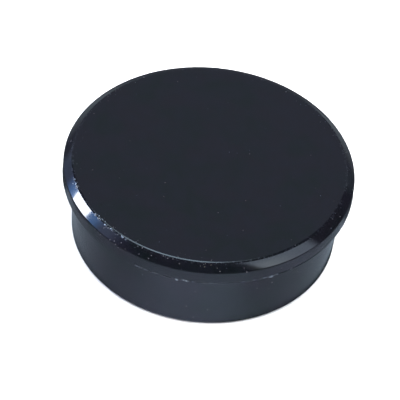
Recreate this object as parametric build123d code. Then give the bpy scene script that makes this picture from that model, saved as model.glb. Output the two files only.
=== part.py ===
"""Hand-held magnetic security tag detacher: a closed round grip cap over a ring-magnet pack.

A moulded cap with an overhanging finger rim is open underneath.  A foam pad, a steel yoke disc, two stacked
ring magnets and a booster magnet fill it, and a snap-in base closes it.  The base carries the round nest that
takes a tag's lock dome, and a rubber glide ring that the puck rests on.

Millimetres.  +Z is up, through the middle of the puck.  The origin is the centre of the resting plane,
under the glide ring.
"""

import os

from build123d import *

# ---- driving dimensions -------------------------------------------------------------------------------
OVERALL_DIAMETER = 38.0     # across the finger rim, at its parting line
OVERALL_HEIGHT = 12.0       # from the glide ring's foot to the top face
FOOT_GAP = 0.25             # the skirt's lower edge above the resting plane
MAGNET_DIAMETER = 30.0      # both ring magnets and the yoke disc
MAGNET_BORE = 19.0          # through both ring magnets
MAGNET_THICKNESS = 3.0      # each ring magnet
NEST_DIAMETER = 16.5        # the pocket for the tag's lock dome

# ---- grip cap, outside --------------------------------------------------------------------------------
RIM_R = OVERALL_DIAMETER / 2
FLASH_PROUD = 0.06                          # thin moulding fin round the parting line
FLASH_THICK = 0.09
BAND_R = RIM_R - FLASH_PROUD                # the rim's upright band
BAND_FOOT_Z = 9.4
BAND_TOP_Z = 11.2
FACE_R = 17.8                               # where the flat top face would meet the bevel, unrounded
FACE_EDGE_ROUND = 0.7
BEVEL_FOOT_ROUND = 0.2
SKIRT_TOP_R = 17.72
SKIRT_FOOT_R = 17.35                        # the skirt's draft takes it in towards its foot
SKIRT_FOOT_ROUND = 0.2
RIM_ROOT_ROUND = 0.15

# ---- grip cap, inside ---------------------------------------------------------------------------------
CEILING_THICK = 1.6
CAVITY_R = 16.0
MOUTH_BEVEL = 0.25
RIB_COUNT = 8
RIB_WIDTH = 0.8
RIB_CLEARANCE = 0.1                         # between a rib's crest and the magnets
RIB_LEAD = 1.1                              # height of the slope that leads the magnets in
SNAP_Z = 1.4                                # middle height of the snap bead and its groove
SNAP_DEPTH = 0.25
SNAP_HALF_FLAT = 0.15
SNAP_HALF_FOOT = 0.45
SNAP_CLEARANCE = 0.06

# ---- base with its nest -------------------------------------------------------------------------------
BASE_R = CAVITY_R - 0.1
BASE_FOOT_Z = 0.3
BASE_THICK = 2.0
NEST_R = NEST_DIAMETER / 2
NEST_WALL = 1.05
NEST_LEAD = 1.0                             # 45 degree lead-in at the nest's mouth
NEST_FLOOR_Z = 5.2
NEST_FLOOR_THICK = 0.8
NEST_FLOOR_ROUND = 0.5
GATE_DIMPLE_R = 1.1                         # sunk gate mark in the middle of the nest's floor
GATE_DIMPLE_DEPTH = 0.25
GATE_DIMPLE_SLOPE = 0.15
POCKET_R = 7.55                             # the booster magnet's pocket above the nest's floor
COLLAR_GAP = 0.1                            # collar top to yoke
RECESS_INNER_R = 10.8
RECESS_OUTER_R = 14.4
RECESS_DEPTH = 0.6
PRY_WIDTH = 2.4
PRY_DEPTH = 0.9
PRY_HEIGHT = 0.5

# ---- glide ring ---------------------------------------------------------------------------------------
GLIDE_CLEARANCE = 0.1
GLIDE_THICK = BASE_FOOT_Z + RECESS_DEPTH
GLIDE_EDGE = 0.15
GLIDE_GROOVES = 2
GLIDE_GROOVE_WIDTH = 0.4
GLIDE_GROOVE_DEPTH = 0.25

# ---- magnet pack --------------------------------------------------------------------------------------
MAGNET_R = MAGNET_DIAMETER / 2
MAGNET_BORE_R = MAGNET_BORE / 2
MAGNET_EDGE = 0.25
BOOSTER_R = 7.4
BOOSTER_THICK = 2.2
YOKE_THICK = 1.5
YOKE_ROLLOVER = 0.35                        # the round left by the punch on one edge
PAD_R = 13.0
PAD_BORE_R = 4.0

LOWER_MAGNET_Z = BASE_FOOT_Z + BASE_THICK
UPPER_MAGNET_Z = LOWER_MAGNET_Z + MAGNET_THICKNESS
YOKE_Z = UPPER_MAGNET_Z + MAGNET_THICKNESS
PAD_Z = YOKE_Z + YOKE_THICK
CEILING_Z = OVERALL_HEIGHT - CEILING_THICK


def turned(outline, rounds=()):
    """Revolve (radius, height) points about Z.  Each of rounds is a corner's point and its radius."""
    face = make_face(Polyline(*outline, close=True))
    for corner, radius in rounds:
        nearest = face.vertices().sort_by_distance(Vector(*corner))[0]
        face = fillet(nearest, radius)
    return revolve(Plane.XZ * face, Axis.Z)


def bevelled_ring(outer, bore, low, thick, edge):
    """A flat ring with all four of its edges bevelled; a bore of 0 makes it a disc."""
    high = low + thick
    outline = [(outer - edge, low), (outer, low + edge), (outer, high - edge), (outer - edge, high)]
    if bore:
        outline += [(bore + edge, high), (bore, high - edge), (bore, low + edge), (bore + edge, low)]
    else:
        outline += [(0, high), (0, low)]
    return turned(outline)


def snap_profile(radius, reach, spread):
    """Points of a snap bead or groove on a wall of this radius, from its lower end up."""
    foot, flat = SNAP_HALF_FOOT + spread, SNAP_HALF_FLAT + spread
    return [
        (radius, SNAP_Z - foot),
        (radius + reach, SNAP_Z - flat),
        (radius + reach, SNAP_Z + flat),
        (radius, SNAP_Z + foot),
    ]


def crush_rib():
    """One upright rib on the cavity wall that centres the magnet pack, with a lead-in at its foot."""
    crest = MAGNET_R + RIB_CLEARANCE
    root = CAVITY_R + 0.4
    foot = LOWER_MAGNET_Z + 0.2
    side = make_face(
        Polyline(
            (root, foot),
            (CAVITY_R - 0.1, foot),
            (crest, foot + RIB_LEAD),
            (crest, CEILING_Z + 0.2),
            (root, CEILING_Z + 0.2),
            close=True,
        )
    )
    return extrude(Plane.XZ * side, RIB_WIDTH / 2, both=True)


def grip_cap():
    """The moulded cap: flat top, bevel, finger rim with its parting-line fin, and tapered skirt."""
    flash_top = BAND_FOOT_Z + FLASH_THICK
    outline = [
        (0, OVERALL_HEIGHT),
        (FACE_R, OVERALL_HEIGHT),
        (BAND_R, BAND_TOP_Z),
        (BAND_R, flash_top + FLASH_PROUD),
        (RIM_R, flash_top),
        (RIM_R, BAND_FOOT_Z),
        (SKIRT_TOP_R, BAND_FOOT_Z),
        (SKIRT_FOOT_R, FOOT_GAP),
        (CAVITY_R + MOUTH_BEVEL, FOOT_GAP),
        (CAVITY_R, FOOT_GAP + MOUTH_BEVEL),
        *snap_profile(CAVITY_R, SNAP_DEPTH, 0),
        (CAVITY_R, CEILING_Z),
        (0, CEILING_Z),
    ]
    rounds = [
        ((FACE_R, OVERALL_HEIGHT), FACE_EDGE_ROUND),
        ((BAND_R, BAND_TOP_Z), BEVEL_FOOT_ROUND),
        ((SKIRT_TOP_R, BAND_FOOT_Z), RIM_ROOT_ROUND),
        ((SKIRT_FOOT_R, FOOT_GAP), SKIRT_FOOT_ROUND),
    ]
    cap = turned(outline, rounds)
    ribs = PolarLocations(0, RIB_COUNT) * crush_rib()
    return cap + ribs


def foam_pad():
    """Double-sided foam between the cap's ceiling and the yoke; it takes up the pack's tolerance."""
    thick = CEILING_Z - PAD_Z
    return Pos(0, 0, PAD_Z + thick / 2) * (Cylinder(PAD_R, thick) - Cylinder(PAD_BORE_R, thick))


def back_yoke():
    """Punched steel disc behind the magnets, rolled over on its upper edge."""
    outline = [(0, YOKE_Z), (MAGNET_R, YOKE_Z), (MAGNET_R, PAD_Z), (0, PAD_Z)]
    return turned(outline, [((MAGNET_R, PAD_Z), YOKE_ROLLOVER)])


def ring_magnet(low):
    """One plated ring magnet with its underside at this height."""
    return bevelled_ring(MAGNET_R, MAGNET_BORE_R, low, MAGNET_THICKNESS, MAGNET_EDGE)


def booster_magnet():
    """Disc magnet above the nest's floor, held against the yoke by its own pull."""
    return bevelled_ring(BOOSTER_R, 0, YOKE_Z - BOOSTER_THICK, BOOSTER_THICK, MAGNET_EDGE)


def nest_base():
    """Snap-in base: closing flange, tag nest below, booster pocket above, and a recess for the glide ring."""
    flange_top = BASE_FOOT_Z + BASE_THICK
    recess_top = BASE_FOOT_Z + RECESS_DEPTH
    collar_top = YOKE_Z - COLLAR_GAP
    nest_ceiling = NEST_FLOOR_Z + NEST_FLOOR_THICK
    outline = [
        (NEST_R + NEST_LEAD, BASE_FOOT_Z),
        (NEST_R, BASE_FOOT_Z + NEST_LEAD),
        (NEST_R, NEST_FLOOR_Z),
        (GATE_DIMPLE_R + GATE_DIMPLE_SLOPE, NEST_FLOOR_Z),
        (GATE_DIMPLE_R, NEST_FLOOR_Z + GATE_DIMPLE_DEPTH),
        (0, NEST_FLOOR_Z + GATE_DIMPLE_DEPTH),
        (0, nest_ceiling),
        (POCKET_R, nest_ceiling),
        (POCKET_R, collar_top),
        (NEST_R + NEST_WALL, collar_top),
        (NEST_R + NEST_WALL, flange_top),
        (BASE_R, flange_top),
        *reversed(snap_profile(BASE_R, SNAP_DEPTH, -SNAP_CLEARANCE)),
        (BASE_R, BASE_FOOT_Z),
        (RECESS_OUTER_R, BASE_FOOT_Z),
        (RECESS_OUTER_R, recess_top),
        (RECESS_INNER_R, recess_top),
        (RECESS_INNER_R, BASE_FOOT_Z),
    ]
    base = turned(outline, [((NEST_R, NEST_FLOOR_Z), NEST_FLOOR_ROUND)])
    notch = Pos(BASE_R - PRY_DEPTH / 2 + 0.5, 0, BASE_FOOT_Z) * Box(PRY_DEPTH + 1.0, PRY_WIDTH, 2 * PRY_HEIGHT)
    return base - PolarLocations(0, 2) * notch


def glide_ring():
    """Rubber ring stuck in the base's recess; its foot is the resting plane."""
    inner = RECESS_INNER_R + GLIDE_CLEARANCE
    outer = RECESS_OUTER_R - GLIDE_CLEARANCE
    ring = turned(
        [
            (inner + GLIDE_EDGE, 0),
            (inner, GLIDE_EDGE),
            (inner, GLIDE_THICK),
            (outer, GLIDE_THICK),
            (outer, GLIDE_EDGE),
            (outer - GLIDE_EDGE, 0),
        ]
    )
    pitch = (outer - inner) / (GLIDE_GROOVES + 1)
    for number in range(1, GLIDE_GROOVES + 1):
        middle = inner + number * pitch
        low, high = middle - GLIDE_GROOVE_WIDTH / 2, middle + GLIDE_GROOVE_WIDTH / 2
        depth = GLIDE_GROOVE_DEPTH
        ring -= turned([(low, -depth), (low, depth), (high, depth), (high, -depth)])
    return ring


PARTS = {
    "grip_cap": grip_cap(),
    "foam_pad": foam_pad(),
    "back_yoke": back_yoke(),
    "upper_ring_magnet": ring_magnet(UPPER_MAGNET_Z),
    "lower_ring_magnet": ring_magnet(LOWER_MAGNET_Z),
    "booster_magnet": booster_magnet(),
    "nest_base": nest_base(),
    "glide_ring": glide_ring(),
}

os.makedirs("parts", exist_ok=True)
for node, solid in PARTS.items():
    export_step(solid, f"parts/{node}.step")
    print(node, "volume", round(solid.volume, 1))
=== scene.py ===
"""Looks of the hand-held magnetic security tag detacher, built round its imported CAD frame.  Metres, +Z up."""

import math

import bmesh
import bpy
from mathutils import Matrix, Vector, noise


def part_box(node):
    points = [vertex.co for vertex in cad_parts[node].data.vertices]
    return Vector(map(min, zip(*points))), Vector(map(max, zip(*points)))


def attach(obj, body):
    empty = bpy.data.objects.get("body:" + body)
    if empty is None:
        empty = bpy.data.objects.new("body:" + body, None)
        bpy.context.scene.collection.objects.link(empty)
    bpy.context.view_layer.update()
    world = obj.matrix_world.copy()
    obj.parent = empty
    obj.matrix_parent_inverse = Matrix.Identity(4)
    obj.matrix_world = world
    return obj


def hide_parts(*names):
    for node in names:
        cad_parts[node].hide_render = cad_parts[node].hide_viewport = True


MM = 0.001

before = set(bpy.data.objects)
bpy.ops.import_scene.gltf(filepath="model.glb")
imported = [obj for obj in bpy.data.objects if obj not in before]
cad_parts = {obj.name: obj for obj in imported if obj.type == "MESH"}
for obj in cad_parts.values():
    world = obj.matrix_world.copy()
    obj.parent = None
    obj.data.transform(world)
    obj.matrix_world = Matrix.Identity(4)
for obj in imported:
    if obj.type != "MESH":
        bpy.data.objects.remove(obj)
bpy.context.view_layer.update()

# ---- sizes of the grip cap, from the frame and its moulding details -----------------------------------
CAP_LOW, CAP_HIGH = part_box("grip_cap")
RIM_R = (CAP_HIGH.x - CAP_LOW.x) / 2
TOP_Z = CAP_HIGH.z
FOOT_Z = CAP_LOW.z
FIN_PROUD = 0.06 * MM                      # the moulding fin stands this far out of the rim's band
BAND_R = RIM_R - FIN_PROUD
BAND_FOOT_Z = FOOT_Z + 9.15 * MM
BAND_TOP_Z = TOP_Z - 0.8 * MM
FACE_R = RIM_R - 1.2 * MM
FACE_EDGE_ROUND = 0.7 * MM
BEVEL_FOOT_ROUND = 0.2 * MM
BEVEL_CROWN = 0.010 * MM                   # the bevel bulges this much between its two rounded edges
SKIRT_TOP_R = RIM_R - 1.28 * MM
SKIRT_FOOT_R = RIM_R - 1.65 * MM
CAVITY_R = RIM_R - 3.0 * MM
CEILING_Z = TOP_Z - 1.6 * MM
RIB_CREST_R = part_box("back_yoke")[1].x + 0.1 * MM
RIB_FOOT_Z = 2.5 * MM
RIB_LEAD = 1.1 * MM
RIB_COUNT = 8
RIB_HALF_WIDTH = 0.4 * MM
SNAP_Z = 1.4 * MM
SNAP_DEPTH = 0.25 * MM
SEGMENTS = 720
ROUND_STEPS = 10                           # along each rounding of the bevel
DUST_CLUSTER = (1.3 * MM, -18.8 * MM, 11.22 * MM)   # a spot on the bevel where dust has gathered
# rings of the fin, downwards: (mm over the band's foot, share of its reach, mm that a late tear droops)
FIN_RINGS = (
    (0.12, 0.0, 0.0),
    (0.07, 0.75, 0.0),
    (0.04, 1.0, 0.10),
    (0.01, 0.7, 0.22),
)
FIN_ROOT = 0.135 * MM                      # the fin begins this far over the band's foot
TORN_LATE_ENOUGH = 0.40                    # a late tear stronger than this shows pale
NARROW_TEAR = 2.0                          # half width in degrees below which a late tear has few gaps
NARROW_TEAR_FILL = 0.9
CUT_CLOSE = 0.12                           # a trimmed fin that reaches less than this has been cut
# the last of the cap's material slots is a painted shadow line along the band's foot
MOULDED, TORN, PALE, CUT_SHADOW = range(4)        # the cap's material slots
# where the fin held on longest and tore pale: (angle, half width, strength), angles in degrees
LATE_TEARS = (
    (-61.0, 1.3, 0.7),
    (-97.8, 0.7, 1.0),
    (-92.0, 13.0, 0.56),
    (38.0, 0.8, 0.9),
    (96.0, 6.0, 0.6),
    (151.0, 0.6, 0.9),
)
# painted glints of the key light sit on the face's edge on both sides of this direction
WORN_AND_GLINT_MIDDLE = (-0.848, -0.530, 0.0)        # towards the part of the face's edge that is most rubbed
WORN_AND_GLINT_WAY = (0.530, -0.848, 0.0)            # along the edge there
# where the moulding fin was cut off close: (angle, half width, material slot of the cut), angles in degrees
TRIMMED = (
    (-138.0, 28.0, MOULDED),
    # at this angle the cut fin gets the painted shadow line
    (-39.0, 19.0, CUT_SHADOW),
)
STAGE_R = 1.8                              # of the floor, the mirrored table and the backdrop
BLACK = (0.0, 0.0, 0.0)
GUARD = 0.015 * MM                         # from each end of a rounding to the guard point beside it


# ---- turned shapes ------------------------------------------------------------------------------------
def rounded(corners, steps):
    """(radius, height) points of an outline whose corners are (radius, height, rounding).

    A guard point just outside each rounding keeps the flats between them flat under smooth shading."""
    points = []
    for number, (r, z, rounding) in enumerate(corners):
        here = Vector((r, z))
        if not rounding:
            points.append(here)
            continue
        before = (Vector(corners[number - 1][:2]) - here).normalized()
        after = (Vector(corners[number + 1][:2]) - here).normalized()
        half = before.angle(after) / 2
        start = here + before * rounding / math.tan(half)
        end = here + after * rounding / math.tan(half)
        centre = here + (before + after).normalized() * rounding / math.sin(half)
        first, last = start - centre, end - centre
        sweep = first.angle(last)
        points.append(start + before * GUARD)
        for step in range(steps + 1):
            share = step / steps
            arm = first * math.sin((1 - share) * sweep) + last * math.sin(share * sweep)
            points.append(centre + arm / math.sin(sweep))
        points.append(end + after * GUARD)
    return points


def lathe(name, outline, shape):
    """A turned mesh from (radius, height) points.  shape(number, radius, height, angle) may move a point."""
    bm = bmesh.new()
    rings = []
    for number, point in enumerate(outline):
        if point.x < 1e-9:
            rings.append([bm.verts.new((0, 0, point.y))])
            continue
        ring = []
        for step in range(SEGMENTS):
            angle = 2 * math.pi * step / SEGMENTS
            r, z = shape(number, point.x, point.y, angle)
            ring.append(bm.verts.new((r * math.cos(angle), r * math.sin(angle), z)))
        rings.append(ring)
    for upper, lower in zip(rings, rings[1:]):
        for step in range(SEGMENTS):
            after = (step + 1) % SEGMENTS
            if len(upper) == 1:
                bm.faces.new((upper[0], lower[step], lower[after]))
            elif len(lower) == 1:
                bm.faces.new((upper[step], lower[0], upper[after]))
            else:
                bm.faces.new((upper[step], lower[step], lower[after], upper[after]))
    bmesh.ops.recalc_face_normals(bm, faces=bm.faces)
    mesh = bpy.data.meshes.new(name)
    bm.to_mesh(mesh)
    bm.free()
    for polygon in mesh.polygons:
        polygon.use_smooth = True
    piece = bpy.data.objects.new(name, mesh)
    bpy.context.scene.collection.objects.link(piece)
    return piece


# ---- node graphs --------------------------------------------------------------------------------------
class Graph:
    """Short calls for building a node tree.  A value is a number, a colour or another node's socket."""

    def __init__(self, tree):
        self.nodes, self.links = tree.nodes, tree.links

    def feed(self, socket, value):
        if isinstance(value, bpy.types.NodeSocket):
            self.links.new(value, socket)
        elif value is not None:
            socket.default_value = rgba(value) if socket.type == "RGBA" else value

    def math(self, operation, *values):
        made = self.nodes.new("ShaderNodeMath")
        made.operation = operation
        for socket, value in zip(made.inputs, values):
            self.feed(socket, value)
        return made.outputs[0]

    def times(self, first, *others):
        """The product of the values."""
        for other in others:
            first = self.math("MULTIPLY", first, other)
        return first

    def step(self, value, start, end, low=0.0, high=1.0):
        """Goes smoothly from low to high as the value goes from start to end."""
        made = self.nodes.new("ShaderNodeMapRange")
        made.interpolation_type = "SMOOTHSTEP"
        given = {"Value": value, "From Min": start, "From Max": end, "To Min": low, "To Max": high}
        for name, number in given.items():
            self.feed(made.inputs[name], number)
        return made.outputs["Result"]

    def between(self, value, first, second):
        """1 between two soft edges, which are (where it is 0, where it is 1) pairs, and 0 outside them."""
        return self.times(self.step(value, *first), self.step(value, *second))

    def mix(self, share, first, second, blend="MIX"):
        made = self.nodes.new("ShaderNodeMix")
        made.data_type = "RGBA"
        made.blend_type = blend
        self.feed(made.inputs[0], share)
        self.feed(made.inputs[6], first)
        self.feed(made.inputs[7], second)
        return made.outputs[2]

    def plus(self, base, share, colour):
        """The base colour with a share of another colour added to it."""
        return self.mix(1.0, base, self.mix(share, BLACK, colour), "ADD")

    def noise(self, place, scale, detail=2.0, roughness=0.5):
        made = self.nodes.new("ShaderNodeTexNoise")
        self.feed(made.inputs["Vector"], place)
        self.feed(made.inputs["Scale"], scale)
        self.feed(made.inputs["Detail"], detail)
        self.feed(made.inputs["Roughness"], roughness)
        return made.outputs["Fac"]

    def cells(self, place, scale):
        """Distance to the nearest scattered point, and two random values for that point."""
        made = self.nodes.new("ShaderNodeTexVoronoi")
        self.feed(made.inputs["Vector"], place)
        self.feed(made.inputs["Scale"], scale)
        split = self.nodes.new("ShaderNodeSeparateXYZ")
        self.links.new(made.outputs["Color"], split.inputs[0])
        return made.outputs["Distance"], split.outputs["X"], split.outputs["Y"]

    def mapped(self, place, turn=(0, 0, 0), scale=(1, 1, 1)):
        made = self.nodes.new("ShaderNodeMapping")
        self.feed(made.inputs["Vector"], place)
        self.feed(made.inputs["Rotation"], turn)
        self.feed(made.inputs["Scale"], scale)
        return made.outputs["Vector"]

    def minus(self, vector, fixed):
        made = self.nodes.new("ShaderNodeVectorMath")
        made.operation = "SUBTRACT"
        self.feed(made.inputs[0], vector)
        made.inputs[1].default_value = fixed
        return made.outputs["Vector"]

    def dot(self, vector, direction):
        made = self.nodes.new("ShaderNodeVectorMath")
        made.operation = "DOT_PRODUCT"
        self.feed(made.inputs[0], vector)
        made.inputs[1].default_value = direction
        return made.outputs["Value"]

    def length(self, vector):
        made = self.nodes.new("ShaderNodeVectorMath")
        made.operation = "LENGTH"
        self.feed(made.inputs[0], vector)
        return made.outputs["Value"]

    def split(self, vector):
        made = self.nodes.new("ShaderNodeSeparateXYZ")
        self.feed(made.inputs[0], vector)
        return made.outputs

    def bump(self, height, distance, normal=None):
        made = self.nodes.new("ShaderNodeBump")
        self.feed(made.inputs["Height"], height)
        self.feed(made.inputs["Distance"], distance)
        self.feed(made.inputs["Normal"], normal)
        return made.outputs["Normal"]

    def coordinate(self, kind):
        return self.nodes.new("ShaderNodeTexCoord").outputs[kind]


def rgba(value):
    return (*value, 1.0) if isinstance(value, tuple) and len(value) == 3 else value


def new_material(name):
    """(material, its graph, its principled shader, the piece's own coordinates)"""
    material = bpy.data.materials.new(name)
    material.use_nodes = True
    graph = Graph(material.node_tree)
    return material, graph, graph.nodes["Principled BSDF"], graph.coordinate("Object")


# ---- materials ----------------------------------------------------------------------------------------
def cloudy_tint(graph, place):
    """Blue-black that drifts a little between warm and cool."""
    cloud = graph.noise(place, 160.0, 3.0, 0.6)
    patch = graph.noise(place, 620.0, 2.0)
    tint = graph.mix(graph.step(cloud, 0.4, 0.6), (0.0093, 0.0085, 0.0124), (0.0063, 0.0089, 0.0098))
    return graph.mix(graph.step(patch, 0.3, 0.7, 0.0, 0.5), tint, (0.0098, 0.0098, 0.0162))


def settled_dust(graph, place, radius, height):
    """(where single dust specks lie, how much of each shows, their colour, how high they stand)"""
    on_bevel = graph.times(
        graph.step(radius, FACE_R - 0.2 * MM, FACE_R + 0.1 * MM),
        graph.step(height, BAND_TOP_Z - 0.3 * MM, BAND_TOP_Z),
    )
    rare = graph.step(graph.noise(place, 95.0, 1.0), 0.46, 0.66, 0.70, 0.42)
    rare = graph.math("SUBTRACT", rare, graph.times(on_bevel, 0.30))
    near, pick, size = graph.cells(place, 1150.0)
    reach = graph.step(size, 0.0, 1.0, 0.035, 0.085)
    dust = graph.times(graph.math("LESS_THAN", near, reach), graph.math("GREATER_THAN", pick, rare))
    tone = graph.mix(graph.math("GREATER_THAN", size, 0.66), (0.062, 0.070, 0.110), (0.095, 0.072, 0.080))
    shown = graph.step(graph.noise(place, 800.0, 0.0), 0.35, 0.65, 0.25, 0.95)
    return dust, graph.times(dust, shown), tone, graph.times(graph.step(near, reach, 0.0), dust)


def gathered_grit(graph, place, radius, height):
    """(where fine grit has gathered near the rim, its colour)"""
    near_rim = graph.times(
        graph.step(radius, FACE_R - 1.3 * MM, FACE_R + 0.2 * MM),
        graph.step(height, BAND_TOP_Z - 0.6 * MM, BAND_TOP_Z),
    )
    near, pick, size = graph.cells(place, 3300.0)
    reach = graph.step(size, 0.0, 1.0, 0.08, 0.24)
    rare = graph.step(graph.noise(graph.mapped(place, (0, 0, 0.9)), 150.0, 2.0), 0.44, 0.66, 0.97, 0.64)
    off_cluster = graph.length(graph.minus(place, DUST_CLUSTER))
    clustered = graph.step(off_cluster, 2.0 * MM, 0.9 * MM)
    rare = graph.math("SUBTRACT", rare, graph.times(clustered, 0.75))
    grit = graph.times(graph.math("LESS_THAN", near, reach), near_rim, graph.math("GREATER_THAN", pick, rare))
    tone = graph.mix(size, (0.10, 0.115, 0.16), (0.17, 0.155, 0.165))
    return grit, graph.mix(clustered, tone, (0.13, 0.12, 0.095))


def rubbed_edge(graph, place, radius, height):
    """Where the face's edge is rubbed dull."""
    edge_z = TOP_Z - 0.05 * MM
    off_edge = graph.math("ABSOLUTE", graph.math("SUBTRACT", radius, FACE_R + 0.03 * MM))
    on_edge = graph.times(
        graph.step(off_edge, 0.34 * MM, 0.06 * MM),
        graph.step(height, edge_z - 0.30 * MM, edge_z - 0.04 * MM),
    )
    return graph.times(on_edge, graph.step(graph.noise(place, 2600.0, 3.0, 0.65), 0.50, 0.68))


def beaded_edge_with_painted_glints(graph, place, radius, height):
    """(where the face's edge is most rubbed and carries painted glints, how high the small beaded bumps there
    stand and how much their painted glint shows)
    """
    along_edge = graph.dot(place, WORN_AND_GLINT_WAY)
    worn_and_glint_side = graph.math(
        "MAXIMUM",
        graph.between(along_edge, (1.4 * MM, 2.4 * MM), (9 * MM, 6 * MM)),
        graph.between(along_edge, (-1.6 * MM, -2.3 * MM), (-5.5 * MM, -4 * MM)),
    )
    worn_and_glint_side = graph.times(worn_and_glint_side, graph.step(graph.dot(place, WORN_AND_GLINT_MIDDLE), 13 * MM, 15 * MM))
    near, pick, size = graph.cells(place, 2700.0)
    reach = graph.step(size, 0.0, 1.0, 0.30, 0.52)
    outward = graph.step(along_edge, 0.0, -2.4 * MM, 0.02 * MM, 0.24 * MM)
    off_line = graph.math("ABSOLUTE", graph.math("SUBTRACT", radius, graph.math("ADD", outward, FACE_R)))
    beads_and_glints = graph.times(
        worn_and_glint_side,
        graph.step(off_line, 0.26 * MM, 0.16 * MM),
        graph.math("GREATER_THAN", pick, 0.25),
        graph.step(height, BAND_TOP_Z + 0.2 * MM, BAND_TOP_Z + 0.4 * MM),
    )
    return worn_and_glint_side, graph.times(graph.step(near, reach, 0.0), beads_and_glints)


def hairlines(graph, place):
    """Where fine scratches run, in three directions."""
    scratched = 0.0
    for turn, tilt in ((0.5, 0.0), (2.1, 3.7), (2.9, 8.1)):
        streak = graph.noise(graph.mapped(place, (0, 0, turn), (90.0, 7000.0, 90.0)), 1.0, 1.0)
        gap = graph.noise(graph.mapped(place, (0, tilt, turn)), 260.0, 1.0)
        line = graph.times(graph.step(streak, 0.74, 0.80), graph.step(gap, 0.52, 0.66))
        scratched = graph.math("MAXIMUM", scratched, line)
    return scratched


def gloss_plastic():
    """Blue-black gloss styrene: cloudy tint, orange peel, a rubbed and beaded edge with painted glints,
    hairlines and dust.
    """
    material, graph, shader, place = new_material("gloss_cap_plastic")
    height = graph.split(place)[2]
    radius = graph.length(graph.mapped(place, scale=(1.0, 1.0, 0.0)))
    dust, dust_share, dust_tone, dust_rise = settled_dust(graph, place, radius, height)
    grit, grit_tone = gathered_grit(graph, place, radius, height)
    rub = rubbed_edge(graph, place, radius, height)
    worn_and_glint_side, bead_rise_and_glint = beaded_edge_with_painted_glints(graph, place, radius, height)
    scratched = hairlines(graph, place)

    colour = graph.mix(dust_share, cloudy_tint(graph, place), dust_tone)
    colour = graph.mix(graph.times(grit, 0.85), colour, grit_tone)
    colour = graph.mix(graph.times(rub, 0.55), colour, (0.050, 0.056, 0.072))
    # painted glints: pale blue-white dots on the edge's small bumps, where the key light falls
    colour = graph.mix(graph.step(bead_rise_and_glint, 0.0, 0.6, 0.0, 0.9), colour, (0.40, 0.48, 0.60))
    graph.feed(shader.inputs["Base Color"], colour)

    rough = graph.step(graph.noise(place, 380.0, 4.0, 0.6), 0.3, 0.75, 0.06, 0.12)
    for mark, its_roughness in ((dust, 0.55), (scratched, 0.28), (rub, 0.24), (grit, 0.5)):
        rough = graph.math("MAXIMUM", rough, graph.times(mark, its_roughness))
    graph.feed(shader.inputs["Roughness"], rough)

    normal = None
    for rise, distance in (
        (graph.noise(place, 700.0, 2.0), 0.004 * MM),
        (graph.noise(place, 4200.0, 2.0), 0.0003 * MM),
        (dust_rise, 0.02 * MM),
        (graph.times(worn_and_glint_side, 0.6, rub), 0.024 * MM),
        (bead_rise_and_glint, 0.014 * MM),
        (scratched, 0.001 * MM),
    ):
        normal = graph.bump(rise, distance, normal=normal)
    graph.feed(shader.inputs["Normal"], normal)
    shader.inputs["IOR"].default_value = 1.5
    return material


def torn_plastic(name, dark, pale, spread):
    """The ragged moulding fin, stress-whitened where it was torn off."""
    material, graph, shader, place = new_material(name)
    tear = graph.noise(place, 1500.0, 3.0, 0.7)
    stretch = graph.noise(place, 210.0, 2.0)
    whitened = graph.times(graph.step(tear, 0.42, 0.62), graph.step(stretch, 0.40, 0.62, spread, 1.0))
    graph.feed(shader.inputs["Base Color"], graph.mix(whitened, dark, pale))
    graph.feed(shader.inputs["Roughness"], graph.step(tear, 0.3, 0.7, 0.25, 0.6))
    graph.feed(shader.inputs["Normal"], graph.bump(tear, 0.02 * MM))
    return material


def cut_fin_painted_shadow():
    """Painted shadow: a dull dark line along the band's foot, where the moulding fin was cut off close."""
    material, graph, shader, place = new_material("cut_flash_painted_shadow")
    grain = graph.noise(place, 1800.0, 3.0, 0.6)
    colour = graph.mix(grain, (0.0020, 0.0022, 0.0030), (0.0060, 0.0066, 0.0085))
    graph.feed(shader.inputs["Base Color"], colour)
    graph.feed(shader.inputs["Roughness"], graph.step(grain, 0.3, 0.7, 0.35, 0.50))
    graph.feed(shader.inputs["Normal"], graph.bump(grain, 0.004 * MM))
    shader.inputs["Specular IOR Level"].default_value = 0.10
    return material


def matt_plastic():
    """Spark-eroded black plastic of the base, with a little dust caught in its grain."""
    material, graph, shader, place = new_material("matt_base_plastic")
    grain = graph.noise(place, 5200.0, 3.0, 0.6)
    cloud = graph.noise(place, 260.0, 3.0)
    colour = graph.mix(graph.step(cloud, 0.3, 0.7), (0.020, 0.0205, 0.023), (0.031, 0.0315, 0.034))
    caught = graph.times(graph.step(grain, 0.58, 0.72), graph.step(cloud, 0.40, 0.65))
    colour = graph.mix(graph.times(caught, 0.5), colour, (0.085, 0.083, 0.080))
    near, pick, size = graph.cells(place, 900.0)
    mote = graph.math("LESS_THAN", near, graph.step(size, 0.0, 1.0, 0.02, 0.07))
    mote = graph.times(mote, graph.math("GREATER_THAN", pick, 0.6))
    colour = graph.mix(graph.times(mote, 0.7), colour, (0.16, 0.155, 0.15))
    graph.feed(shader.inputs["Base Color"], colour)
    graph.feed(shader.inputs["Roughness"], graph.step(grain, 0.2, 0.8, 0.36, 0.60))
    graph.feed(shader.inputs["Normal"], graph.bump(grain, 0.012 * MM))
    return material


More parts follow.
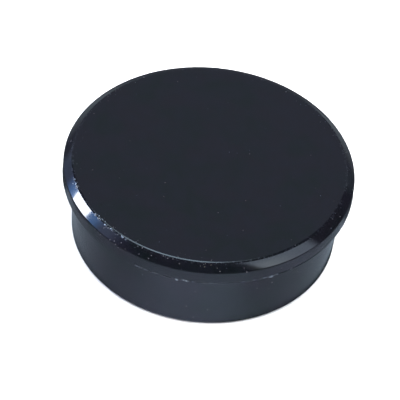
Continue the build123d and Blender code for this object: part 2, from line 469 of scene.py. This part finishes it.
def rubber():
    """Dusty black nitrile rubber of the glide ring, rubbed grey on the lands it slides on."""
    material, graph, shader, place = new_material("glide_rubber")
    height = graph.split(place)[2]
    grain = graph.noise(place, 2600.0, 5.0, 0.6)
    dusting = graph.noise(place, 500.0, 4.0, 0.6)
    colour = graph.mix(graph.step(dusting, 0.4, 0.75), (0.022, 0.022, 0.023), (0.052, 0.050, 0.048))
    slid = graph.times(graph.step(height, 0.06 * MM, 0.01 * MM), graph.step(grain, 0.35, 0.70))
    colour = graph.mix(graph.times(slid, 0.65), colour, (0.095, 0.092, 0.088))
    graph.feed(shader.inputs["Base Color"], colour)
    graph.feed(shader.inputs["Roughness"], graph.step(grain, 0.2, 0.8, 0.62, 0.86))
    graph.feed(shader.inputs["Normal"], graph.bump(grain, 0.02 * MM))
    return material


def foam():
    """Closed-cell white polyethylene foam, yellowed in patches."""
    material, graph, shader, place = new_material("closed_cell_foam")
    near, pick, _ = graph.cells(place, 3200.0)
    skin = graph.noise(place, 700.0, 3.0)
    colour = graph.mix(graph.step(near, 0.1, 0.6), (0.60, 0.59, 0.55), (0.74, 0.73, 0.69))
    colour = graph.mix(graph.step(skin, 0.35, 0.7, 0.0, 0.5), colour, (0.70, 0.66, 0.56))
    graph.feed(shader.inputs["Base Color"], colour)
    graph.feed(shader.inputs["Roughness"], graph.step(pick, 0.0, 1.0, 0.80, 0.95))
    graph.feed(shader.inputs["Normal"], graph.bump(near, 0.05 * MM))
    return material


def plated_metal(name, low, high, smooth, rough):
    """Thin plating over sintered or stamped metal, a little cloudy, with handling scuffs."""
    material, graph, shader, place = new_material(name)
    cloud = graph.noise(place, 340.0, 4.0, 0.6)
    grain = graph.noise(place, 6000.0, 2.0)
    graph.feed(shader.inputs["Base Color"], graph.mix(graph.step(cloud, 0.3, 0.7), low, high))
    graph.feed(shader.inputs["Roughness"], graph.step(cloud, 0.25, 0.8, smooth, rough))
    graph.feed(shader.inputs["Normal"], graph.bump(grain, 0.002 * MM))
    shader.inputs["Metallic"].default_value = 1.0
    return material


# ---- camera, lights and stage -------------------------------------------------------------------------
def add_camera():
    """A long lens 45 degrees above the table, turned a little on its side."""
    elevation, roll = math.radians(45.29), math.radians(6.07)
    distance, aside, above = 400 * MM, -0.749 * MM, 3.304 * MM
    right = Vector((1, 0, 0))
    back = Vector((0, -math.cos(elevation), math.sin(elevation)))
    up = back.cross(right)
    data = bpy.data.cameras.new("camera")
    data.sensor_width = 36.0
    data.lens = 272.6
    data.clip_start = 0.01
    data.clip_end = 20.0
    camera = bpy.data.objects.new("camera", data)
    bpy.context.scene.collection.objects.link(camera)
    camera.location = Vector((0, 0, FOOT_Z)) + right * aside + up * above + back * distance
    x_axis = right * math.cos(roll) + up * math.sin(roll)
    y_axis = up * math.cos(roll) - right * math.sin(roll)
    camera.rotation_mode = "QUATERNION"
    camera.rotation_quaternion = Matrix((x_axis, y_axis, back)).transposed().to_quaternion()
    bpy.context.scene.camera = camera


def towards(azimuth, elevation):
    """Unit direction; azimuth 0 is +X and 90 is +Y, in degrees."""
    turn, lift = math.radians(azimuth), math.radians(elevation)
    return Vector((math.cos(lift) * math.cos(turn), math.cos(lift) * math.sin(turn), math.sin(lift)))


def add_panel(name, start, end, breadth, radiance, colour=(1, 1, 1), distance=3.0, seen_by="glossy"):
    """A long soft light that faces the puck and, seen from it, spans from one direction to the other."""
    outward = (start + end).normalized()
    along = (end - start).normalized()
    data = bpy.data.lights.new(name, "AREA")
    data.shape = "RECTANGLE"
    data.size = (end - start).length * distance
    data.size_y = breadth * distance
    data.energy = radiance * math.pi * data.size * data.size_y
    data.color = colour
    lamp = bpy.data.objects.new(name, data)
    bpy.context.scene.collection.objects.link(lamp)
    lamp.location = outward * distance
    lamp.rotation_mode = "QUATERNION"
    lamp.rotation_quaternion = Matrix((along, outward.cross(along), outward)).transposed().to_quaternion()
    lamp.visible_camera = False
    lamp.visible_glossy = seen_by == "glossy"
    lamp.visible_diffuse = seen_by == "diffuse"
    return lamp


def soft_patch(graph, direction, start, end, breadth, fade_start, fade_end, slant=0.0):
    """1 inside a long patch of sky from one direction to the other, fading to 0 outside it.

    Sizes are lengths at unit distance.  The slant skews both ends."""
    fade_side = 0.06
    centre = (start + end).normalized()
    along = (end - start).normalized()
    half = (end - start).length / 2
    across = centre.cross(along)
    place = graph.dot(direction, along + across * slant)
    lengthwise = graph.times(
        graph.step(place, -half - fade_start / 2, -half + fade_start / 2),
        graph.step(place, half + fade_end / 2, half - fade_end / 2),
    )
    off = graph.math("ABSOLUTE", graph.dot(direction, across))
    sideways = graph.step(off, breadth / 2 + fade_side, breadth / 2 - fade_side)
    ahead = graph.math("GREATER_THAN", graph.dot(direction, centre), 0.0)
    return graph.times(graph.times(lengthwise, sideways), ahead)


def add_world():
    """A dark room with a grey wall behind, a pale low horizon and soft boxes, as functions of direction."""
    world = bpy.data.worlds.new("studio")
    bpy.context.scene.world = world
    world.use_nodes = True
    graph = Graph(world.node_tree)
    direction = graph.coordinate("Generated")
    x, y, z = graph.split(direction)[:3]

    aside = graph.step(graph.math("ABSOLUTE", x), 0.28, 0.50)
    high_or_aside = graph.math("MAXIMUM", graph.step(z, 0.30, 0.50), aside)
    wall = graph.times(graph.step(y, 0.60, 0.68), high_or_aside)
    wall = graph.times(wall, graph.step(z, 0.14, 0.44, 0.35, 1.0))
    sky = graph.mix(wall, (0.020, 0.025, 0.035), (0.272, 0.318, 0.395))
    window_side = graph.times(graph.step(z, 0.34, 0.12), graph.step(y, 0.10, -0.25))
    sky = graph.mix(window_side, sky, (0.34, 0.38, 0.46))
    low_behind = graph.times(graph.step(z, 0.16, 0.02), graph.step(y, 0.30, 0.60))
    sky = graph.mix(low_behind, sky, (0.31, 0.36, 0.41))
    for start, end, breadth, fades, colour in (
        (towards(-37, 56.2), towards(5.2, 39.5), 0.38, (0.04, 0.12, 0.6), (1.60, 1.93, 2.40)),
        (towards(-34, 49.5), towards(-16, 44), 0.28, (0.20, 0.34, 0.6), (1.05, 1.12, 1.08)),
        (towards(151, 25), towards(178, 42.1), 0.22, (0.14, 0.13), (0.56, 1.70, 4.30)),
        (towards(155.5, 28.5), towards(171, 38), 0.24, (0.08, 0.09), (1.00, 1.60, 2.60)),
        (towards(138, 14.0), towards(-166, 49.5), 0.36, (0.12, 0.30), (0.42, 0.52, 0.88)),
        (towards(-179.5, 43.2), towards(-168, 48.5), 0.24, (0.12, 0.14), (0.33, 0.40, 0.62)),
    ):
        sky = graph.plus(sky, soft_patch(graph, direction, start, end, breadth, *fades), colour)
    sky = graph.mix(graph.step(z, -0.02, -0.10), sky, (0.5, 0.55, 0.65))
    graph.feed(graph.nodes["Background"].inputs["Color"], sky)
    graph.nodes["Background"].inputs["Strength"].default_value = 1.0


def add_lights():
    """The key, the strips over the puck, and the lights that only shade matt surfaces."""
    add_panel("key_core", towards(158.2, 29.1), towards(171.4, 37.3), 0.26, 26.0)
    for name, start, end, radiance, colour in (
        ("strip_above", (-0.36, 0.35, 0.89), (0.11, 0.32, 0.94), 2.6, (0.68, 0.85, 1.0)),
        ("strip_middle", (-0.22, 0.32, 0.92), (0.05, 0.31, 0.94), 3.3, (0.58, 0.82, 1.0)),
    ):
        add_panel(name, Vector(start), Vector(end), 0.46, radiance, colour)
    add_panel("soft_fill", Vector((-0.5, 0, 1)), Vector((0.5, 0, 1)), 1.0, 3.3, seen_by="diffuse")
    add_panel("under_fill", Vector((-0.5, 0, -1)), Vector((0.5, 0, -1)), 1.0, 9.0, seen_by="diffuse")
    left, right = Vector((-1, 0, 1)), Vector((1, 0, 1))
    return add_panel("floor_wash", left, right, 2.0, 3.4, distance=1.4, seen_by="diffuse")


def stage_disc(name, height):
    """A large thin round sheet of the stage."""
    bm = bmesh.new()
    level = Matrix.Translation((0, 0, height))
    bmesh.ops.create_circle(bm, cap_ends=True, segments=96, radius=STAGE_R, matrix=level)
    mesh = bpy.data.meshes.new(name)
    bm.to_mesh(mesh)
    bm.free()
    disc = bpy.data.objects.new(name, mesh)
    bpy.context.scene.collection.objects.link(disc)
    disc.visible_shadow = False
    return disc


def add_floor():
    """A white table top, lit until it is plain white.  From underneath it can be seen through."""
    floor = stage_disc("floor", -0.02 * MM)
    floor.visible_glossy = False
    material, graph, shader, place = new_material("floor_paper")
    fibre = graph.noise(place, 900.0, 3.0)
    graph.feed(shader.inputs["Base Color"], graph.mix(fibre, (0.90, 0.90, 0.91), (0.93, 0.93, 0.93)))
    shader.inputs["Roughness"].default_value = 0.9
    shader.inputs["Specular IOR Level"].default_value = 0.0
    behind = graph.nodes.new("ShaderNodeNewGeometry").outputs["Backfacing"]
    see_through = graph.nodes.new("ShaderNodeMixShader")
    clear = graph.nodes.new("ShaderNodeBsdfTransparent")
    graph.feed(see_through.inputs[0], behind)
    graph.links.new(shader.outputs[0], see_through.inputs[1])
    graph.links.new(clear.outputs[0], see_through.inputs[2])
    graph.links.new(see_through.outputs[0], graph.nodes["Material Output"].inputs["Surface"])
    floor.data.materials.append(material)
    return floor


def glow_material(name, colour_of):
    """A material that only shines, with the colour that colour_of(graph, place) makes."""
    material = bpy.data.materials.new(name)
    material.use_nodes = True
    graph = Graph(material.node_tree)
    graph.nodes.remove(graph.nodes["Principled BSDF"])
    shine = graph.nodes.new("ShaderNodeEmission")
    graph.feed(shine.inputs["Color"], colour_of(graph, graph.coordinate("Object")))
    graph.links.new(shine.outputs[0], graph.nodes["Material Output"].inputs["Surface"])
    return material


def add_reflected_table():
    """What glossy surfaces mirror below them: a glowing blue-white table with its light and shade painted in,
    brighter in front, with painted shadow at the puck's foot and behind it.

    Its middle, under the puck, is a soft box for the views from below."""

    def shade(graph, place):
        x, y = graph.split(place)[:2]
        radius = graph.length(place)
        bearing = graph.math("DIVIDE", x, radius)
        # painted shade: the table darkens towards the puck's foot
        beside_with_foot_shade = graph.times(
            graph.step(radius, 17.2 * MM, 18.8 * MM, 0.5, 1.0),
            graph.step(y, -13 * MM, -5 * MM, 0.84, 1.06),
            graph.step(x, -10 * MM, 10 * MM, 0.90, 1.05),
        )
        # painted light: brighter pools on the table in front of the puck and further out to its right
        in_front = graph.times(
            graph.between(bearing, (-0.74, -0.14), (0.60, 0.12)),
            graph.step(y, 0.0, -4 * MM),
            graph.step(radius, 20 * MM, 26 * MM, 0.94, 1.30),
            graph.step(radius, 26 * MM, 29 * MM, 1.0, 0.46),
        )
        far_right = graph.times(
            graph.step(x, 4 * MM, 14 * MM),
            graph.step(radius, 22 * MM, 26 * MM),
            graph.step(y, -9 * MM, -15 * MM),
        )
        table = graph.mix(beside_with_foot_shade, BLACK, (0.30, 0.37, 0.45))
        table = graph.plus(table, in_front, (0.33, 0.40, 0.57))
        table = graph.plus(table, far_right, (0.07, 0.09, 0.13))

        # painted shadow: dark at the puck's foot on the right and behind the puck; darker further out and
        # beyond both sides
        right_foot_shadow = graph.times(graph.step(x, 1 * MM, 5 * MM), graph.step(radius, 18.0 * MM, 17.6 * MM))
        behind = graph.times(graph.step(y, 0.3 * MM, 4 * MM), graph.step(radius, 28 * MM, 24 * MM))
        table = graph.mix(graph.times(right_foot_shadow, 0.85), table, BLACK)
        table = graph.mix(graph.times(behind, 0.85), table, BLACK)
        table = graph.mix(graph.step(radius, 31 * MM, 38 * MM), table, (0.03, 0.03, 0.04))
        table = graph.mix(graph.step(x, -24.8 * MM, -25.6 * MM, 0.0, 0.8), table, BLACK)
        table = graph.mix(graph.step(x, 23.8 * MM, 26 * MM, 0.0, 0.3), table, BLACK)
        far = graph.times(graph.step(radius, 46 * MM, 85 * MM), graph.step(y, -20 * MM, 20 * MM, 0.5, 1.0))
        table = graph.mix(far, table, (0.36, 0.43, 0.49))
        under_glow = graph.mix(graph.step(y, -12 * MM, 12 * MM), (0.9, 1.0, 1.15), (2.6, 2.8, 3.1))
        return graph.mix(graph.step(radius, 14.6 * MM, 13.6 * MM), table, under_glow)

    table = stage_disc("reflected_table", -0.03 * MM)
    table.visible_camera = False
    table.visible_diffuse = False
    table.data.materials.append(glow_material("table_glow", shade))


def add_backdrop():
    """White all round, for the camera only."""
    bm = bmesh.new()
    bmesh.ops.create_uvsphere(bm, u_segments=64, v_segments=32, radius=STAGE_R)
    mesh = bpy.data.meshes.new("backdrop")
    bm.to_mesh(mesh)
    bm.free()
    dome = bpy.data.objects.new("backdrop", mesh)
    bpy.context.scene.collection.objects.link(dome)
    dome.visible_glossy = dome.visible_diffuse = dome.visible_shadow = False
    mesh.materials.append(glow_material("backdrop_white", lambda graph, place: (1.0, 1.0, 1.0)))


# ---- pieces -------------------------------------------------------------------------------------------
def off_angle(angle, middle, half):
    """How far the angle is from the middle, in half widths.  The middle and the half width are in degrees."""
    return abs((math.degrees(angle) - middle + 180) % 360 - 180) / half


def fin_reach(angle):
    """How far the ragged moulding fin stands out at this angle, from 0 to 1."""
    place = Vector((math.cos(angle), math.sin(angle), 0))
    coarse = noise.noise(place * 9.0)
    fine = noise.noise(place * 60.0 + Vector((5, 0, 0)))
    reach = 0.40 + 0.9 * coarse + 0.5 * fine
    for middle, half, _ in TRIMMED:
        reach -= 1.4 * max(0.0, 1.0 - off_angle(angle, middle, half) ** 2)
    return min(1.0, max(0.0, reach))


def torn_late(angle):
    """How much of the fin hangs on here after tearing late, from 0 to 1."""
    ragged = 0.42 + 1.1 * noise.noise(Vector((math.cos(angle), math.sin(angle), 0.3)) * 190.0)
    share = 0.0
    for middle, half, strength in LATE_TEARS:
        off = off_angle(angle, middle, half)
        if off < 1.0:
            whole = ragged + (NARROW_TEAR_FILL if half < NARROW_TEAR else 0.0)
            share = max(share, strength * (1.0 - off * off) * min(1.0, max(0.0, whole)))
    return share


def fin_slot(angle):
    """Which of the cap's materials the fin has at this angle."""
    if torn_late(angle) > TORN_LATE_ENOUGH:
        return PALE
    for middle, half, slot in TRIMMED:
        if off_angle(angle, middle, half) < 1.0 and fin_reach(angle) < CUT_CLOSE:
            return slot
    return TORN


def grip_cap_shell():
    """The moulded cap: rounded bevel, ragged parting-line fin, tapered skirt, ribbed cavity."""
    outer = rounded(
        [
            (0, TOP_Z, 0),
            (FACE_R, TOP_Z, FACE_EDGE_ROUND),
            (BAND_R, BAND_TOP_Z, BEVEL_FOOT_ROUND),
            (BAND_R, BAND_FOOT_Z + FIN_ROOT, 0),
        ],
        steps=ROUND_STEPS,
    )
    arc_end = ROUND_STEPS + 2              # after the middle point and one guard point
    arc_start = arc_end + 3                # after two guard points, which the crown replaces
    upper, lower_end = outer[arc_end], outer[arc_start]
    swell_way = Vector((upper.y - lower_end.y, lower_end.x - upper.x)).normalized()
    crown = [
        upper.lerp(lower_end, share) + swell_way * BEVEL_CROWN * 4 * share * (1 - share)
        for share in (0.12, 0.25, 0.38, 0.5, 0.62, 0.75, 0.88)
    ]
    top = [Vector((FACE_R * share, TOP_Z)) for share in (0.25, 0.5, 0.75, 0.9, 0.97)]
    outer = outer[:1] + top + outer[1:arc_end + 1] + crown + outer[arc_start:]
    fin = [Vector((BAND_R, BAND_FOOT_Z + up * MM)) for up, _, _ in FIN_RINGS]
    lower = rounded(
        [
            (BAND_R, BAND_FOOT_Z, 0),
            (SKIRT_TOP_R, BAND_FOOT_Z, 0.15 * MM),
            (SKIRT_FOOT_R, FOOT_Z, 0.2 * MM),
            (CAVITY_R + 0.25 * MM, FOOT_Z, 0),
            (CAVITY_R, FOOT_Z + 0.25 * MM, 0),
            (CAVITY_R, SNAP_Z - 0.45 * MM, 0),
            (CAVITY_R + SNAP_DEPTH, SNAP_Z - 0.15 * MM, 0),
            (CAVITY_R + SNAP_DEPTH, SNAP_Z + 0.15 * MM, 0),
            (CAVITY_R, SNAP_Z + 0.45 * MM, 0),
        ],
        steps=6,
    )
    wall = [Vector((CAVITY_R, z)) for z in (RIB_FOOT_Z, RIB_FOOT_Z + RIB_LEAD, CEILING_Z)]
    ceiling = [Vector((CAVITY_R * share, CEILING_Z)) for share in (0.9, 0.5, 0)]
    fin_start = len(outer)
    fin_end = fin_start + len(fin)
    wall_start = fin_end + len(lower)
    outline = outer + fin + lower + wall + ceiling
    rib_pitch = 2 * math.pi / RIB_COUNT

    def shape(number, r, z, angle):
        if fin_start <= number < fin_end:
            _, swell, droop = FIN_RINGS[number - fin_start]
            late = torn_late(angle)
            return r + FIN_PROUD * max(fin_reach(angle), min(1.0, 2 * late)) * swell, z - droop * MM * late
        if wall_start < number < wall_start + len(wall):
            off = abs((angle + rib_pitch / 2) % rib_pitch - rib_pitch / 2) * CAVITY_R
            if off < RIB_HALF_WIDTH:
                return RIB_CREST_R, z
        return r, z

    piece = lathe("grip_cap_shell", outline, shape)
    piece.data.set_sharp_from_angle(angle=math.radians(30))
    for band in range(fin_start - 1, fin_end):
        for step in range(SEGMENTS):
            angle = 2 * math.pi * (step + 0.5) / SEGMENTS
            piece.data.polygons[band * SEGMENTS + step].material_index = fin_slot(angle)
    return piece


def dress(name, material):
    """Gives a CAD node a material, without touching its shape."""
    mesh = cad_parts[name].data
    mesh.materials.clear()
    mesh.materials.append(material)


add_camera()
add_world()
add_backdrop()
add_reflected_table()
wash = add_lights()
floor = add_floor()
only_floor = bpy.data.collections.new("only_floor")
only_floor.objects.link(floor)
wash.light_linking.receiver_collection = only_floor

cap = grip_cap_shell()
for material in (
    gloss_plastic(),
    torn_plastic("torn_flash_plastic", (0.012, 0.014, 0.020), (0.095, 0.115, 0.145), 0.25),
    torn_plastic("pale_torn_plastic", (0.060, 0.075, 0.100), (0.30, 0.36, 0.42), 0.8),
    cut_fin_painted_shadow(),
):
    cap.data.materials.append(material)
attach(cap, "root")
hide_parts("grip_cap")

nickel = plated_metal("magnet_nickel", (0.60, 0.58, 0.53), (0.68, 0.66, 0.61), 0.12, 0.24)
dress("nest_base", matt_plastic())
dress("glide_ring", rubber())
dress("foam_pad", foam())
dress("back_yoke", plated_metal("zinc_plate", (0.52, 0.54, 0.56), (0.62, 0.64, 0.67), 0.26, 0.42))
dress("upper_ring_magnet", nickel)
dress("lower_ring_magnet", nickel)
dress("booster_magnet", nickel)

bpy.context.scene.view_settings.view_transform = "Standard"
